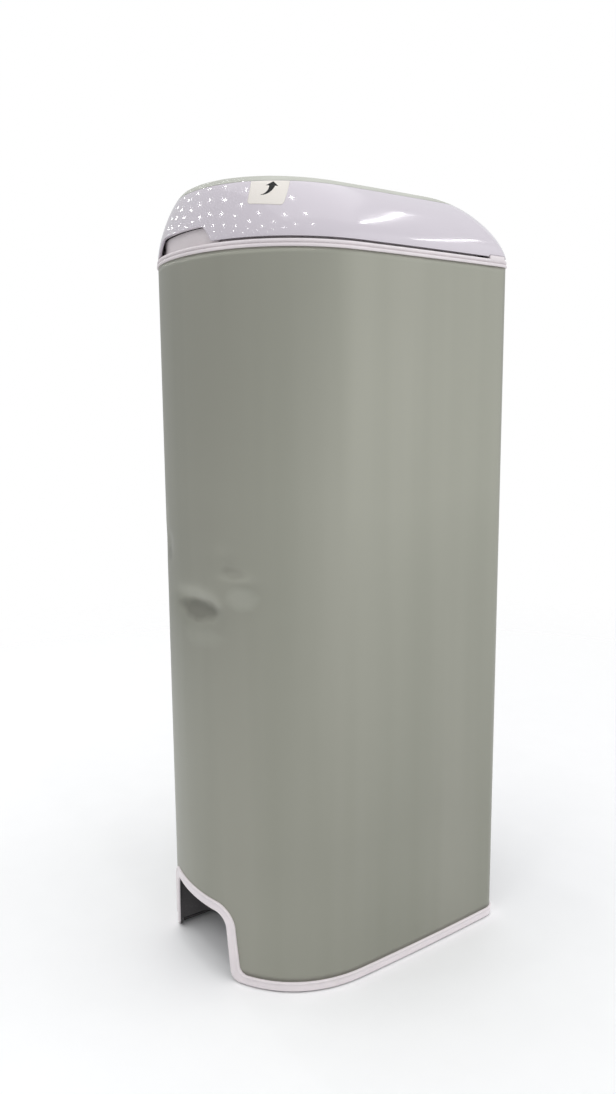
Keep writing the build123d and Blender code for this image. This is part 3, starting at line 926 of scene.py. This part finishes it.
def paleFloor():
    # fades out all round, so that no far edge shows
    m = Finish("paleFloor")
    where = m.place()
    specks = m.noise(where, 30.0, 3)
    away = m.add("ShaderNodeVectorMath", {"operation": "LENGTH"}, {0: where}, out=1)
    return m.done(
        Base_Color=m.blend(specks, (0.92, 0.92, 0.92), (0.94, 0.94, 0.94)),
        Roughness=0.6 + 0.1 * specks,
        Alpha=m.steps(away * (1 / stageSet["floor"]), (0.05, 1), (0.26, 0)),
    )


bm = bmesh.new()
bmesh.ops.create_grid(bm, x_segments=2, y_segments=2, size=stageSet["floor"])
bmesh.ops.translate(bm, verts=bm.verts, vec=(0, 0, cadBounds[0][2]))
floorMesh = bpy.data.meshes.new("floor")
bm.to_mesh(floorMesh)
bm.free()
floorMesh.materials.append(paleFloor())
floor = bpy.data.objects.new("floor", floorMesh)
bpy.context.scene.collection.objects.link(floor)

studio = Finish("studio", bpy.data.worlds.new("studio"))
bpy.context.scene.world = studio.owner
heading = studio.add("ShaderNodeTexCoord", out=0)
east, north, high = (studio.add("ShaderNodeSeparateXYZ", {}, {0: heading}, out=axis) for axis in range(3))
glow = 0.70 + 0.15 * east + 0.15 * north + 0.14 * high  # dimmest low down in front to the left
sky = studio.add("ShaderNodeBackground", {}, {"Color": (0.97, 0.98, 1.0, 1), "Strength": glow})
backdrop = studio.add("ShaderNodeBackground", {}, {"Color": (1, 1, 1, 1), "Strength": 1.0})
seen = studio.add("ShaderNodeLightPath", out=0)
choice = studio.add("ShaderNodeMixShader", {}, {0: seen, 1: sky, 2: backdrop})
studio.add("ShaderNodeOutputWorld", {}, {0: choice}, out=None)
bpy.context.scene.view_settings.view_transform = "Standard"


def areaLight(name, place, target, size, power):
    data = bpy.data.lights.new(name, "AREA")
    data.shape = "RECTANGLE"
    data.size, data.size_y = size
    data.energy = power
    lamp = bpy.data.objects.new(name, data)
    lamp.location = place
    lamp.rotation_euler = (Vector(target) - Vector(place)).to_track_quat("-Z", "Y").to_euler()
    bpy.context.scene.collection.objects.link(lamp)
    return lamp


softLights = {  # place, target, size, power
    "keySoft": ((2.2, 2.0, 1.3), (0.1, 0, 0.35), (3.0, 2.2), 8.5),
    "topSoft": ((0.3, 0.2, 2.9), (0.3, 0.2, 0), (3.0, 3.0), 12),
}
for name, settings in softLights.items():
    areaLight(name, *settings)
ceiling = {
    "columns": 12,
    "rows": 8,
    "spacing": 0.72,
    "height": 2.6,
    "size": 0.05,
    "power": 0.9,
    "left": -6.0,
    "front": -5.2,
    "stagger": 0.12,
}
tubes = {"places": ((0.85, 1.7), (1.62, 2.55)), "size": (0.9, 0.05), "power": 2.5}
for column in range(ceiling["columns"]):
    for row in range(ceiling["rows"]):
        x = ceiling["left"] + column * ceiling["spacing"] + ceiling["stagger"] * (row % 2)
        y = ceiling["front"] + row * ceiling["spacing"]
        spot = (x, y, ceiling["height"])
        areaLight(f"ceiling{column}x{row}", spot, (x, y, 0), (ceiling["size"],) * 2, ceiling["power"])
for tube, (x, y) in enumerate(tubes["places"]):
    areaLight(f"tube{tube}", (x, y, ceiling["height"]), (x, y, 0), tubes["size"], tubes["power"])

cameraData = bpy.data.cameras.new("camera")
cameraData.lens = stageSet["lens"]
cameraData.sensor_width = 36
cameraData.sensor_fit = "AUTO"
cameraData.clip_start = 0.01
camera = bpy.data.objects.new("camera", cameraData)
yaw, pitch, roll = (math.radians(stageSet[key]) for key in ("yaw", "pitch", "roll"))
forward = Vector((-math.sin(yaw) * math.cos(pitch), math.cos(yaw) * math.cos(pitch), -math.sin(pitch)))
flatRight = Vector((math.cos(yaw), math.sin(yaw), 0))
flatUp = flatRight.cross(forward)
right = flatRight * math.cos(roll) + flatUp * math.sin(roll)
up = flatUp * math.cos(roll) - flatRight * math.sin(roll)
turn = Matrix((right, up, -forward)).transposed()
camera.matrix_world = Matrix.Translation(stageSet["camera"]) @ turn.to_4x4()
bpy.context.scene.collection.objects.link(camera)
bpy.context.scene.camera = camera
print("stage, light and camera done")
